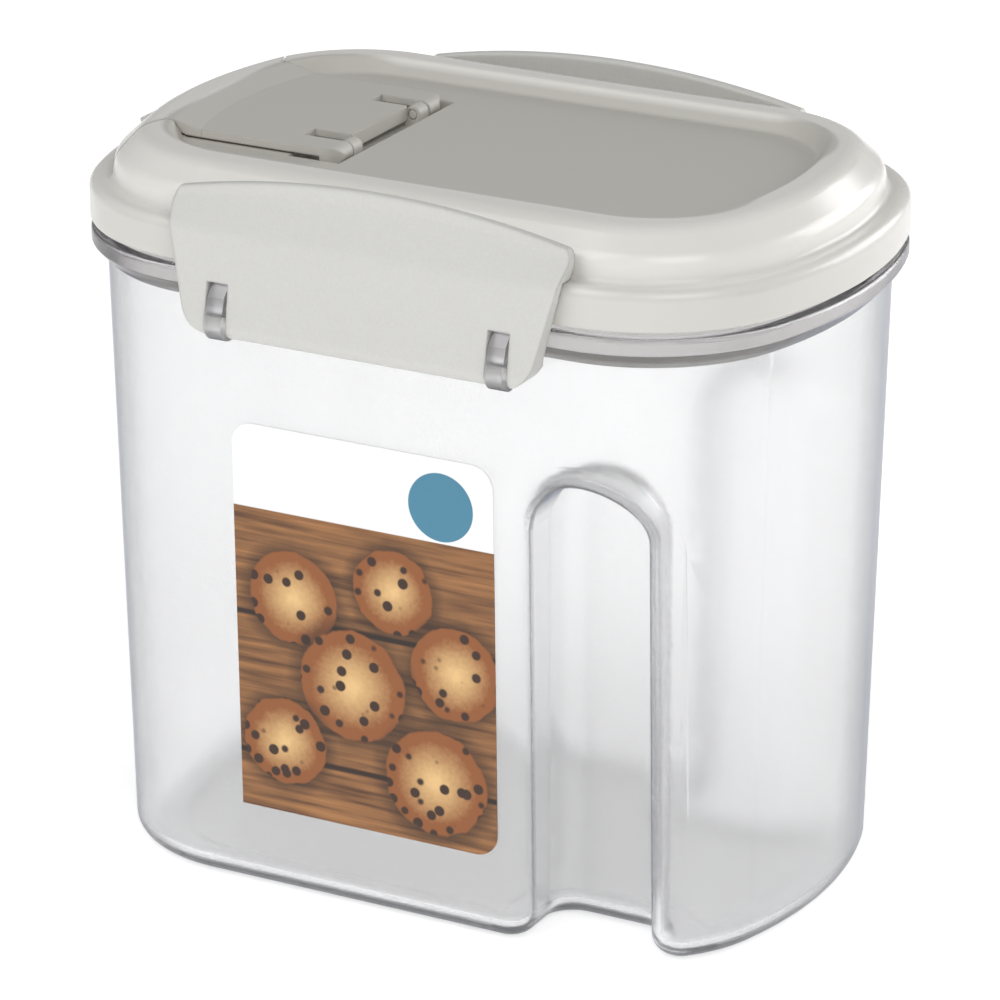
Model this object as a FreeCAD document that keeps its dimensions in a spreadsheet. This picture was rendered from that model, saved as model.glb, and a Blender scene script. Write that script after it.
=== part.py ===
import FreeCAD
import Part
import math
import os
from types import SimpleNamespace

import PartDesign
import Sketcher

# Clear food storage box with a flip-top pour lid and two locking clips.
# Frame: X along the length with the pour end at -X, the labelled front at -Y, Z up from the table.

SIZES = {
    # Plan of the lid skirt, the widest moulding. Every ring is set in from it by an inset.
    "lid_half_length": 59.0,
    "lid_half_width": 39.0,
    "lid_corner_radius": 26.4,
    "lid_end_radius": 68.9,
    "core_lap": 1.0,
    "core_margin": 0.8,
    "overrun": 5.0,
    # Clear tub: drafted wall, rounded foot, bead under the lid and plain rim inside the lid.
    "tub_height": 100.5,
    "wall_top_inset": 2.4,
    "wall_foot_inset": 4.6,
    "wall": 1.3,
    "foot_round": 3.0,
    "floor": 1.6,
    "floor_round": 2.0,
    "rim_gap": 0.4,
    "rim_wall": 1.9,
    "bead_drop": 4.5,
    "bead_height": 2.2,
    "bead_slope": 1.2,
    "bead_step": 1.2,
    "bead_taper_inset": 1.2,
    "bead_inset": 0.1,
    "bead_round": 0.6,
    "foot_ring_width": 7.5,
    "foot_ring_depth": 0.7,
    # Finger grip in each long wall: an arched hollow with a rounded floor and lip.
    "grip_end_gap": 20.1,
    "grip_width": 16.5,
    "grip_depth": 17.0,
    "grip_head": 29.2,
    "grip_floor_round": 3.4,
    "grip_lip_round": 4.2,
    # Lid: skirt, ledge, dome, crest and sunk panel.
    "skirt_drop": 6.0,
    "skirt_foot_round": 0.4,
    "skirt_wall": 1.6,
    "seal_height": 1.0,
    "ledge_round": 1.5,
    "dome_foot_inset": 3.3,
    "dome_foot_round": 0.8,
    "dome_lean": 0.6,
    "dome_low_rise": 3.2,
    "dome_low_round": 3.0,
    "dome_shoulder": 4.0,
    "dome_shoulder_rise": 3.6,
    "dome_high_round": 3.5,
    "crest_width": 4.0,
    "crest_rise": 0.1,
    "crest_round": 0.9,
    "panel_slope": 1.7,
    "panel_drop": 2.5,
    "panel_foot_round": 0.9,
    "shell_wall": 1.6,
    "plug_wall": 1.3,
    "plug_depth": 3.1,
    "seal_play": 0.1,
    # Flip cap: plate over the panel, end that continues the dome, thumb tab and plug.
    "gap": 0.35,
    "cap_rise": 1.5,
    "cap_half_width": 16.6,
    "cap_corner_round": 3.0,
    "cap_end_wall": 1.6,
    "cap_end_lift": 0.7,
    "cap_band_width": 2.6,
    "zone_margin": 2.0,
    "seam_crest_inset": 13.3,
    "seam_foot_inset": 8.4,
    "seam_gap": 0.4,
    "seam_spread": 11.0,
    "deck_wall": 1.4,
    "deck_margin": 1.8,
    "tab_end_inset": 1.1,
    "tab_half_width": 6.0,
    "tab_thickness": 1.3,
    "tab_round": 2.0,
    "hole_length": 15.0,
    "hole_margin": 4.0,
    "hole_round": 4.0,
    "cap_plug_wall": 1.2,
    "cap_plug_depth": 3.0,
    "cap_seal_wall": 1.2,
    "cap_seal_foot_gap": 0.6,
    "cap_seal_top_gap": 0.3,
    # Cap hinge: round finger ends with stub pins that turn in two lid lugs.
    "hinge_back": 8.0,
    "barrel_radius": 1.4,
    "stub_radius": 0.7,
    "running_clearance": 0.06,
    "lug_eye_radius": 1.3,
    "finger_width": 5.1,
    "notch_width": 3.3,
    "notch_length": 6.8,
    "finger_gap": 0.7,
    "finger_lip": 1.2,
    "finger_lip_drop": 2.3,
    "well_ahead": 6.0,
    "well_behind": 2.3,
    "well_clear": 0.5,
    "well_wall": 1.4,
    # Locking clip: its section from the hinge knuckle up to the lip, then its outline from the front.
    "clip_pin_stand": 2.1,
    "clip_pin_drop": 1.5,
    "clip_pin_radius": 1.1,
    "knuckle_radius": 2.2,
    "knuckle_round": 2.0,
    "knuckle_top_round": 0.8,
    "clip_low_stand": 3.0,
    "clip_low_rise": 5.7,
    "clip_low_round": 8.0,
    "clip_mid_stand": 1.9,
    "clip_mid_rise": 0.1,
    "clip_mid_round": 6.0,
    "clip_valley_lean": 0.8,
    "clip_lip_height": 2.4,
    "clip_valley_round": 1.5,
    "clip_lip_lean": 0.3,
    "clip_lip_thickness": 1.5,
    "clip_lip_round": 0.6,
    "clip_rise": 8.2,
    "clip_arch": 3.9,
    "clip_neck_lean": 0.3,
    "clip_neck_drop": 2.6,
    "clip_hook_reach": 2.0,
    "clip_hook_height": 1.4,
    "clip_clear": 0.4,
    "clip_low_clear": 0.7,
    "clip_half_top": 31.9,
    "clip_side_slope": 4.9,
    "clip_corner_rise": 0.2,
    "clip_corner_round": 3.0,
    "clip_foot_round": 6.0,
    "clip_roof_slope": 9.9,
    "slot_margin": 4.6,
    "slot_width": 3.4,
    "slot_clear": 0.6,
    "hook_eye_radius": 2.6,
    "hook_shoulder_stand": 1.4,
    "hook_shoulder_rise": 4.0,
    "hook_rise": 5.4,
    "hook_top_stand": 0.1,
    "hook_root_inset": 1.8,
    "hook_root_depth": 2.5,
    # Label on the front wall.
    "label_width": 42.4,
    "label_margin": 4.0,
    "label_foot": 13.1,
    "label_rise": 2.1,
    "label_round": 3.5,
    "label_thickness": 0.2,
}


class Size:
    """A length: its value and the sheet formula that gives it."""

    def __init__(self, value, formula):
        self.value = value
        self.formula = formula

    def __add__(self, other):
        return Size(self.value + other.value, f"({self.formula} + {other.formula})")

    def __sub__(self, other):
        return Size(self.value - other.value, f"({self.formula} - {other.formula})")

    def __neg__(self):
        return Size(-self.value, f"(-1 * {self.formula})")

    def __mul__(self, other):
        other = as_size(other)
        return Size(self.value * other.value, f"({self.formula} * {other.formula})")

    def __truediv__(self, other):
        other = as_size(other)
        return Size(self.value / other.value, f"({self.formula} / {other.formula})")


def as_size(number):
    return number if isinstance(number, Size) else Size(float(number), str(number))


doc = FreeCAD.newDocument("FoodBox")
sheet = doc.addObject("Spreadsheet::Sheet", "Sizes")
for row, (alias, value) in enumerate(SIZES.items(), start=1):
    sheet.set(f"A{row}", alias)
    sheet.set(f"B{row}", str(value))
    sheet.setAlias(f"B{row}", alias)
doc.recompute()
s = SimpleNamespace(**{alias: Size(value, f"Sizes.{alias}") for alias, value in SIZES.items()})

# Insets and heights up the box, each from the one below it.
s.rim_height = s.tub_height
s.rim_inset = s.skirt_wall + s.rim_gap
s.bead_high_height = s.tub_height - s.bead_drop
s.bead_low_height = s.bead_high_height - s.bead_height
s.bead_taper_height = s.bead_low_height - s.bead_slope
s.bead_root_height = s.bead_taper_height - s.bead_step
s.ledge_height = s.tub_height + s.seal_height + s.shell_wall
s.skirt_foot_height = s.ledge_height - s.skirt_drop
s.plug_inset = s.rim_inset + s.rim_wall + s.rim_gap
s.plug_foot_height = s.tub_height + s.seal_height - s.plug_depth
s.dome_low_inset = s.dome_foot_inset + s.dome_lean
s.dome_low_height = s.ledge_height + s.dome_low_rise
s.dome_high_inset = s.dome_low_inset + s.dome_shoulder
s.dome_high_height = s.dome_low_height + s.dome_shoulder_rise
s.crest_inset = s.dome_high_inset + s.crest_width
s.crest_height = s.dome_high_height + s.crest_rise
s.panel_inset = s.crest_inset + s.panel_slope
s.panel_height = s.crest_height - s.panel_drop
s.cap_band_inset = s.panel_inset + s.cap_band_width
s.core_inset = s.cap_band_inset + s.core_margin

# Places of the cap, its hole and its hinge, from the pour end of the lid and the cap's width.
s.cap_top = s.panel_height + s.cap_rise
s.cap_end_foot = s.ledge_height + s.cap_end_lift
s.cap_plate_left = s.lid_half_length - s.cap_band_inset
s.hole_left = s.lid_half_length - s.core_inset
s.hole_right = s.hole_left - s.hole_length
s.zone_right = s.hole_left - s.zone_margin
s.seam_crest_x = s.lid_half_length - s.seam_crest_inset
s.seam_foot_x = s.lid_half_length - s.seam_foot_inset
s.seam_crest_half = s.cap_half_width + s.seam_gap
s.seam_foot_half = s.seam_crest_half + s.seam_spread
s.tab_reach = s.lid_half_length - s.tab_end_inset
s.hole_half_width = s.cap_half_width - s.hole_margin
s.hinge_x = s.hole_right - s.hinge_back
s.notch_outer = s.cap_half_width - s.finger_width
s.notch_inner = s.notch_outer - s.notch_width
s.notch_left = s.hinge_x + s.notch_length
s.middle_finger_end = s.hinge_x + s.finger_gap
s.well_left = s.hinge_x + s.well_ahead
s.well_right = s.hinge_x - s.well_behind
s.well_floor = s.cap_top - s.barrel_radius * 2 - s.well_clear

# Places of the clip and its hooks, out from the lid's side and up from the bead and the ledge.
s.clip_pin_out = s.lid_half_width + s.clip_pin_stand
s.clip_pin_height = s.bead_root_height - s.clip_pin_drop
s.clip_low_out = s.lid_half_width + s.clip_low_stand
s.clip_low_height = s.clip_pin_height + s.clip_low_rise
s.clip_mid_out = s.lid_half_width + s.clip_mid_stand
s.clip_mid_height = s.ledge_height + s.clip_mid_rise
s.clip_top = s.ledge_height + s.clip_rise
s.clip_valley_out = s.lid_half_width - s.clip_valley_lean
s.clip_valley_height = s.clip_top - s.clip_lip_height
s.clip_lip_out = s.clip_valley_out - s.clip_lip_lean
s.clip_lip_in = s.clip_lip_out - s.clip_lip_thickness
s.clip_hook_in = s.lid_half_width - s.clip_hook_reach
s.clip_neck_in = s.clip_hook_in - s.clip_neck_lean
s.clip_neck_height = s.clip_top - s.clip_neck_drop
s.clip_end_top = s.clip_top - s.clip_arch
s.clip_bore = s.lid_half_width + s.clip_clear
s.clip_bore_low = s.lid_half_width + s.clip_low_clear
s.clip_half_foot = s.clip_half_top - s.clip_side_slope
s.clip_corner_height = s.clip_end_top + s.clip_corner_rise
s.clip_roof_half = s.clip_half_top - s.clip_roof_slope
s.slot_centre = s.clip_half_foot - s.slot_margin
s.hook_width = s.slot_width - s.gap * 2
s.hook_shoulder_out = s.clip_pin_out + s.hook_shoulder_stand
s.hook_shoulder_height = s.clip_pin_height + s.hook_shoulder_rise
s.hook_top = s.clip_pin_height + s.hook_rise
s.hook_top_out = s.clip_pin_out + s.hook_top_stand
s.hook_root_out = s.lid_half_width - s.hook_root_inset
s.hook_root_height = s.hook_top - s.hook_root_depth
s.slot_top = s.hook_top + s.slot_clear

# Places of the grips, from the plain end of the lid and its side, and of the label beside the front one.
s.grip_right = s.lid_half_length - s.grip_end_gap
s.grip_left = s.grip_right - s.grip_width
s.grip_floor = s.lid_half_width - s.grip_depth
s.grip_top = s.tub_height - s.grip_head
s.label_right = s.grip_left - s.label_margin
s.label_left = s.label_width - s.label_right
s.label_top = s.grip_top + s.label_rise


def new_body(name):
    return doc.addObject("PartDesign::Body", name)


def sketch_on(body, name, role, offset=None):
    """A sketch on one of the body's own origin planes, moved along its normal by an offset."""
    sketch = body.newObject("Sketcher::SketchObject", name)
    plane = [feature for feature in body.Origin.OriginFeatures if feature.Role == role][0]
    sketch.AttachmentSupport = [(plane, "")]
    sketch.MapMode = "FlatFace"
    if offset is not None:
        sketch.setExpression("AttachmentOffset.Base.z", offset.formula)
    return sketch


def constrain(sketch, size, *terms):
    index = sketch.addConstraint(Sketcher.Constraint(*terms, size.value))
    sketch.setExpression(f"Constraints[{index}]", size.formula)


def place(sketch, edge, end, across, up):
    """Hold a point of the sketch at sizes across and up; a plain 0 puts it on the axis."""
    if isinstance(across, Size):
        constrain(sketch, across, "DistanceX", -1, 1, edge, end)
    else:
        sketch.addConstraint(Sketcher.Constraint("PointOnObject", edge, end, -2))
    if isinstance(up, Size):
        constrain(sketch, up, "DistanceY", -1, 1, edge, end)
    else:
        sketch.addConstraint(Sketcher.Constraint("PointOnObject", edge, end, -1))


def draw_loop(sketch, corners):
    """Close a loop of straight sides. A corner is (across, up) or (across, up, round radius)."""
    spots = [FreeCAD.Vector(getattr(c[0], "value", 0), getattr(c[1], "value", 0), 0) for c in corners]
    count = len(corners)
    starts = []
    ends = []
    rounds = []
    for i, corner in enumerate(corners):
        here = spots[i]
        if len(corner) == 2:
            ends.append(here)
            starts.append(here)
            rounds.append(None)
            continue
        back = (spots[i - 1] - here).normalize()
        ahead = (spots[(i + 1) % count] - here).normalize()
        half = back.getAngle(ahead) / 2
        radius = corner[2].value
        ends.append(here + back * (radius / math.tan(half)))
        starts.append(here + ahead * (radius / math.tan(half)))
        middle = here + (back + ahead).normalize() * (radius / math.sin(half))
        rounds.append((middle, radius, ahead.cross(back).z > 0))
    sides = []
    for i in range(count):
        line = Part.LineSegment(starts[i], ends[(i + 1) % count])
        sides.append(sketch.addGeometry(line, False))
    for i, corner in enumerate(corners):
        if rounds[i] is None:
            sketch.addConstraint(Sketcher.Constraint("Coincident", sides[i - 1], 2, sides[i], 1))
            place(sketch, sides[i], 1, corner[0], corner[1])
            continue
        middle, radius, left_turn = rounds[i]
        first, last = (ends[i], starts[i]) if left_turn else (starts[i], ends[i])
        circle = Part.Circle(middle, FreeCAD.Vector(0, 0, 1), radius)
        first_angle = math.atan2(first.y - middle.y, first.x - middle.x)
        last_angle = math.atan2(last.y - middle.y, last.x - middle.x)
        arc = sketch.addGeometry(Part.ArcOfCircle(circle, first_angle, last_angle), False)
        entry, leave = (1, 2) if left_turn else (2, 1)
        spot = sketch.addGeometry(Part.Point(spots[i]), True)
        place(sketch, spot, 1, corner[0], corner[1])
        sketch.addConstraint(Sketcher.Constraint("PointOnObject", spot, 1, sides[i - 1]))
        sketch.addConstraint(Sketcher.Constraint("PointOnObject", spot, 1, sides[i]))
        sketch.addConstraint(Sketcher.Constraint("Tangent", sides[i - 1], 2, arc, entry))
        sketch.addConstraint(Sketcher.Constraint("Tangent", arc, leave, sides[i], 1))
        constrain(sketch, corner[2], "Radius", arc)


def draw_plan(sketch, inset=None):
    """The lid's plan, set in by an inset: straight sides, round corners and slightly bowed ends."""
    half_length = s.lid_half_length
    half_width = s.lid_half_width
    corner = s.lid_corner_radius
    end = s.lid_end_radius
    if inset is not None:
        half_length = half_length - inset
        half_width = half_width - inset
        corner = corner - inset
        end = end - inset
    up = FreeCAD.Vector(0, 0, 1)
    y = half_width.value
    corner_y = y - corner.value
    end_x = half_length.value - end.value
    corner_x = end_x + math.sqrt((end.value - corner.value) ** 2 - corner_y ** 2)
    turn = math.atan2(corner_y, corner_x - end_x)

    def line(x_from, x_to, at):
        return Part.LineSegment(FreeCAD.Vector(x_from, at, 0), FreeCAD.Vector(x_to, at, 0))

    def arc(x, at, radius, first, last):
        return Part.ArcOfCircle(Part.Circle(FreeCAD.Vector(x, at, 0), up, radius), first, last)

    quarter = math.pi / 2
    edges = [
        line(0, corner_x, -y),
        arc(corner_x, -corner_y, corner.value, -quarter, -turn),
        arc(end_x, 0, end.value, -turn, turn),
        arc(corner_x, corner_y, corner.value, turn, quarter),
        line(corner_x, -corner_x, y),
        arc(-corner_x, corner_y, corner.value, quarter, math.pi - turn),
        arc(-end_x, 0, end.value, math.pi - turn, math.pi + turn),
        arc(-corner_x, -corner_y, corner.value, math.pi + turn, 3 * quarter),
        line(-corner_x, 0, -y),
    ]
    first = sketch.GeometryCount
    ids = [first + i for i in range(len(edges))]
    for edge in edges:
        sketch.addGeometry(edge, False)
    for here, after in zip(ids[:-1], ids[1:]):
        sketch.addConstraint(Sketcher.Constraint("Tangent", here, 2, after, 1))
    sketch.addConstraint(Sketcher.Constraint("Coincident", ids[8], 2, ids[0], 1))
    for side in (ids[0], ids[4], ids[8]):
        sketch.addConstraint(Sketcher.Constraint("Horizontal", side))
    place(sketch, ids[0], 1, 0, -half_width)
    constrain(sketch, half_width, "DistanceY", -1, 1, ids[4], 1)
    for bow in (ids[2], ids[6]):
        sketch.addConstraint(Sketcher.Constraint("PointOnObject", bow, 3, -1))
        constrain(sketch, end, "Radius", bow)
    constrain(sketch, half_length - end, "DistanceX", -1, 1, ids[2], 3)
    constrain(sketch, end - half_length, "DistanceX", -1, 1, ids[6], 3)
    for turn_arc in (ids[1], ids[3], ids[5], ids[7]):
        constrain(sketch, corner, "Radius", turn_arc)


def pad(body, name, sketch, length):
    feature = body.newObject("PartDesign::Pad", name)
    feature.Profile = (sketch, [""])
    feature.setExpression("Length", length.formula)


def ring(name, corners):
    """Carry a section round the lid's plan. Its corners are (inset, height) or (inset, height, round)."""
    body = new_body(name)
    path = sketch_on(body, name + "Path", "XY_Plane")
    draw_plan(path)
    section = sketch_on(body, name + "Section", "YZ_Plane")
    draw_loop(section, [(c[0] - s.lid_half_width, *c[1:]) for c in corners])
    sweep = body.newObject("PartDesign::AdditivePipe", name + "Sweep")
    sweep.Profile = (section, [""])
    sweep.Spine = (path, [""])
    return body


def slab(name, inset, foot, top):
    """A plate in the lid's plan, set in by an inset, between two heights."""
    body = new_body(name)
    plan = sketch_on(body, name + "Plan", "XY_Plane", foot)
    draw_plan(plan, inset)
    pad(body, name + "Pad", plan, top - foot)
    return body


def prism(name, role, corners, start, length):
    """A straight-sided solid: a closed loop on an origin plane, carried along the plane's normal."""
    body = new_body(name)
    loop = sketch_on(body, name + "Loop", role, start)
    draw_loop(loop, corners)
    pad(body, name + "Pad", loop, length)
    return body


def rod(name, radius, start, length, axis, centre):
    """A round bar along X or Y from a start place."""
    bar = doc.addObject("Part::Cylinder", name)
    bar.setExpression("Radius", radius.formula)
    bar.setExpression("Height", length.formula)
    across, height = centre
    if axis == "X":
        bar.Placement.Rotation = FreeCAD.Rotation(FreeCAD.Vector(0, 1, 0), 90)
        bar.setExpression("Placement.Base.x", start.formula)
        bar.setExpression("Placement.Base.y", across.formula)
    else:
        bar.Placement.Rotation = FreeCAD.Rotation(FreeCAD.Vector(1, 0, 0), -90)
        bar.setExpression("Placement.Base.y", start.formula)
        bar.setExpression("Placement.Base.x", across.formula)
    bar.setExpression("Placement.Base.z", height.formula)
    return bar


def fuse(name, *pieces):
    joined = doc.addObject("Part::MultiFuse", name)
    joined.Shapes = list(pieces)
    joined.Refine = True
    return joined


def common(name, *pieces):
    shared = doc.addObject("Part::MultiCommon", name)
    shared.Shapes = list(pieces)
    shared.Refine = True
    return shared


def cut(name, base, tool):
    left = doc.addObject("Part::Cut", name)
    left.Base = base
    left.Tool = tool
    left.Refine = True
    return left


def mirror(name, source, normal):
    """The same piece on the other side of the box."""
    twin = doc.addObject("Part::Mirroring", name)
    twin.Source = source
    twin.Base = FreeCAD.Vector(0, 0, 0)
    twin.Normal = normal
    return twin


ACROSS = FreeCAD.Vector(0, 1, 0)
ALONG = FreeCAD.Vector(1, 0, 0)
ZERO = as_size(0)
TOUCH = 1e-4


def wall_inset(height):
    """Inset of the tub's drafted outer wall at a height."""
    rise = s.bead_taper_height
    return s.wall_top_inset + (s.wall_foot_inset - s.wall_top_inset) * (rise - height) / rise


GRIP_ARCH_SHARE = 0.49

# Tub block: drafted wall, filled to the middle.
block_ring = ring("TubBlockRing", [
    (s.core_inset, 0),
    (wall_inset(ZERO), 0),
    (wall_inset(s.bead_taper_height), s.bead_taper_height),
    (s.core_inset, s.bead_taper_height),
])
block_core = slab("TubBlockCore", s.core_inset - s.core_lap, ZERO, s.bead_taper_height)
block = fuse("TubBlock", block_ring, block_core)


def rounded(name, source, wanted, radius):
    """The source with the edges that pass a test rounded."""
    body = new_body(name)
    body.BaseFeature = source
    doc.recompute()
    base = body.Group[0]
    edges = [f"Edge{i}" for i, edge in enumerate(base.Shape.Edges, start=1) if wanted(edge)]
    feature = body.newObject("PartDesign::Fillet", name + "Round")
    feature.Base = (base, edges)
    feature.setExpression("Radius", radius.formula)
    return body


def grip(name, grow):
    """The hollow of the front finger grip, grown by a wall where it shows inside the tub."""
    low = -s.overrun
    arch_round = s.grip_width * GRIP_ARCH_SHARE + grow
    arch = prism(name + "Arch", "XZ_Plane", [
        (s.grip_left - grow, low),
        (s.grip_right + grow, low),
        (s.grip_right + grow, s.grip_top + grow, arch_round),
        (s.grip_left - grow, s.grip_top + grow, arch_round),
    ], s.grip_floor - grow, s.grip_depth + grow + s.overrun)
    doc.recompute()
    limits = arch.Shape.BoundBox

    def on_floor(edge):
        deepest = edge.BoundBox.YMin > limits.YMax - TOUCH
        return deepest and edge.BoundBox.ZMax > limits.ZMin + TOUCH

    return rounded(name, arch, on_floor, s.grip_floor_round + grow)


def both_sides(name, piece, normal=ACROSS):
    return fuse(name, piece, mirror(name + "Twin", piece, normal))


def lies_on(edge, shape):
    middle = edge.valueAt((edge.FirstParameter + edge.LastParameter) / 2)
    return shape.distToShape(Part.Vertex(middle))[0] < TOUCH


def gripped(name, source, hollows, radius):
    """The source with the finger grips taken out and the lips where they break through rounded."""
    bare = cut(name + "Bare", source, hollows)
    doc.recompute()
    source_skin = Part.Compound(source.Shape.Shells)
    hollow_skin = Part.Compound(hollows.Shape.Shells)
    foot = source.Shape.BoundBox.ZMin

    def lip(edge):
        upright = edge.BoundBox.ZMax > foot + TOUCH
        return upright and lies_on(edge, source_skin) and lies_on(edge, hollow_skin)

    return rounded(name, bare, lip, radius)


def footed(name, source, radius):
    """The source with the edge all round its underside rounded."""
    doc.recompute()
    foot = min(corner.Z for corner in source.Shape.Vertexes)

    def rises(piece):
        return any(corner.Z > foot + TOUCH for corner in piece.Vertexes)

    walls = Part.Compound([face for face in source.Shape.Faces if rises(face)])
    return rounded(name, source, lambda edge: not rises(edge) and lies_on(edge, walls), radius)


grips = both_sides("Grips", grip("GripFront", ZERO))
tub_outside = footed("TubOutside", gripped("TubGripped", block, grips, s.grip_lip_round), s.foot_round)

# Tub cavity: the wall's thickness inside the block, open through the rim.
cavity_ring = ring("TubCavityRing", [
    (s.core_inset, s.floor),
    (wall_inset(s.floor) + s.wall, s.floor),
    (wall_inset(s.bead_taper_height) + s.wall, s.bead_taper_height),
    (s.rim_inset + s.rim_wall, s.rim_height + s.overrun),
    (s.core_inset, s.rim_height + s.overrun),
])
cavity_core = slab("TubCavityCore", s.core_inset - s.core_lap, s.floor, s.rim_height + s.overrun)
cavity_block = fuse("TubCavityBlock", cavity_ring, cavity_core)
grips_inside = both_sides("GripsInside", grip("GripInside", s.wall))
cavity_gripped = gripped("TubCavityGripped", cavity_block, grips_inside, s.grip_lip_round - s.wall)
cavity = footed("TubCavity", cavity_gripped, s.floor_round)

# Rim that stands inside the lid, and the bead below the skirt.
rim = slab("TubRim", s.rim_inset, s.bead_taper_height - s.bead_step / 4, s.rim_height)
bead_root = s.wall_top_inset + s.wall / 2
bead_slant = s.bead_step / (s.wall_top_inset - s.bead_taper_inset)
bead = ring("TubBead", [
    (bead_root, s.bead_taper_height - (bead_root - s.bead_taper_inset) * bead_slant),
    (s.bead_taper_inset, s.bead_taper_height, s.bead_round),
    (s.bead_inset, s.bead_low_height, s.bead_round),
    (s.bead_inset, s.bead_high_height, s.bead_round),
    (bead_root, s.bead_high_height),
])

# Hooks that carry the clips: a plate hanging from the bead with an eye round the clip's pin.
hook_plate = prism("HookPlate", "YZ_Plane", [
    (-s.clip_pin_out, s.clip_pin_height),
    (-s.clip_pin_out - s.hook_eye_radius, s.clip_pin_height),
    (-s.hook_shoulder_out, s.hook_shoulder_height),
    (-s.hook_top_out, s.hook_top),
    (-s.hook_root_out, s.hook_top),
    (-s.hook_root_out, s.hook_root_height),
    (s.hook_eye_radius - s.clip_pin_out, s.clip_pin_height),
], s.slot_centre - s.hook_width / 2, s.hook_width)
pin_line = (-s.clip_pin_out, s.clip_pin_height)
hook_start = s.slot_centre - s.hook_width / 2
hook_eye = rod("HookEye", s.hook_eye_radius, hook_start, s.hook_width, "X", pin_line)
hook_bore = rod("HookBore", s.clip_pin_radius + s.running_clearance, hook_start - s.overrun,
                s.hook_width + s.overrun * 2, "X", pin_line)
hook = cut("Hook", fuse("HookSolid", hook_plate, hook_eye), hook_bore)
hooks = both_sides("Hooks", both_sides("HookPair", hook, ALONG))

# Foot ring: the middle of the tub's underside is sunk inside it.
foot_hollow = slab("FootHollow", s.wall_foot_inset + s.foot_ring_width, -s.overrun, s.foot_ring_depth)
grips_foot = both_sides("GripsFoot", grip("GripFoot", s.foot_ring_width))
foot_sunk = cut("FootSunk", foot_hollow, grips_foot)
tub_solid = fuse("TubSolid", tub_outside, rim, bead)
tub_shell = cut("TubShell", cut("TubOpen", tub_solid, cavity), foot_sunk)
container = fuse("Container", tub_shell, hooks)

# Label: a thin sheet on the drafted front wall.
label_ring = ring("LabelRing", [
    (wall_inset(s.label_foot - s.overrun), s.label_foot - s.overrun),
    (wall_inset(s.label_foot - s.overrun) - s.label_thickness, s.label_foot - s.overrun),
    (wall_inset(s.label_top + s.overrun) - s.label_thickness, s.label_top + s.overrun),
    (wall_inset(s.label_top + s.overrun), s.label_top + s.overrun),
])
label_shape = prism("LabelShape", "XZ_Plane", [
    (-s.label_left, s.label_foot),
    (s.label_right, s.label_foot, s.label_round),
    (s.label_right, s.label_top, s.label_round),
    (-s.label_left, s.label_top, s.label_round),
], ZERO, s.lid_half_width)
label = common("Label", label_ring, label_shape)

# Lid shell: skirt, ledge, dome and crest carried round the plan, with a locating plug inside the tub.
SLANT_SHARE = 0.4
groove_top = s.ledge_height - s.shell_wall
panel_under = s.panel_height - s.shell_wall
dome_outer = [
    (s.dome_low_inset, s.dome_low_height, s.dome_low_round),
    (s.dome_high_inset, s.dome_high_height, s.dome_high_round),
    (s.crest_inset, s.crest_height, s.crest_round),
]


def below_dome(depth):
    """The dome's two shoulders, sunk by a depth under its outside."""
    side = depth * SLANT_SHARE
    return [
        (s.dome_high_inset + side, s.dome_high_height - depth),
        (s.dome_low_inset + depth, s.dome_low_height - side),
    ]


lid_ring = ring("LidRing", [
    (ZERO, s.skirt_foot_height, s.skirt_foot_round),
    (ZERO, s.ledge_height, s.ledge_round),
    (s.dome_foot_inset, s.ledge_height, s.dome_foot_round),
    *dome_outer,
    (s.panel_inset, s.panel_height, s.panel_foot_round),
    (s.core_inset, s.panel_height),
    (s.core_inset, panel_under),
    (s.panel_inset - s.shell_wall * SLANT_SHARE, panel_under),
    (s.crest_inset - s.shell_wall * SLANT_SHARE, s.crest_height - s.shell_wall),
    *below_dome(s.shell_wall),
    (s.plug_inset + s.plug_wall, s.plug_foot_height),
    (s.plug_inset, s.plug_foot_height),
    (s.plug_inset, groove_top),
    (s.skirt_wall, groove_top),
    (s.skirt_wall, s.skirt_foot_height),
])
panel = slab("LidPanel", s.core_inset - s.core_lap, panel_under, s.panel_height)

# Seal: fills the lid's groove above the tub's rim.
lid_seal = ring("LidSeal", [
    (s.skirt_wall + s.seal_play, s.rim_height),
    (s.skirt_wall + s.seal_play, groove_top),
    (s.plug_inset - s.seal_play, groove_top),
    (s.plug_inset - s.seal_play, s.rim_height),
])


def cap_zone(name, back_off):
    """Plan of the dome's end that belongs to the cap, backed off from the seams."""
    half = s.seam_crest_half - back_off
    crest_x = s.seam_crest_x + back_off
    foot_x = s.seam_foot_x + back_off
    left = s.lid_half_length + s.overrun
    return prism(name, "XY_Plane", [
        (-s.zone_right, -half),
        (-s.zone_right, half),
        (-crest_x, half),
        (-foot_x, s.seam_foot_half - back_off * SLANT_SHARE),
        (-left, s.seam_foot_half),
        (-left, -s.seam_foot_half),
        (-foot_x, back_off * SLANT_SHARE - s.seam_foot_half),
        (-crest_x, -half),
    ], groove_top - s.overrun, s.crest_height + s.overrun * 2 - groove_top)


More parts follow.
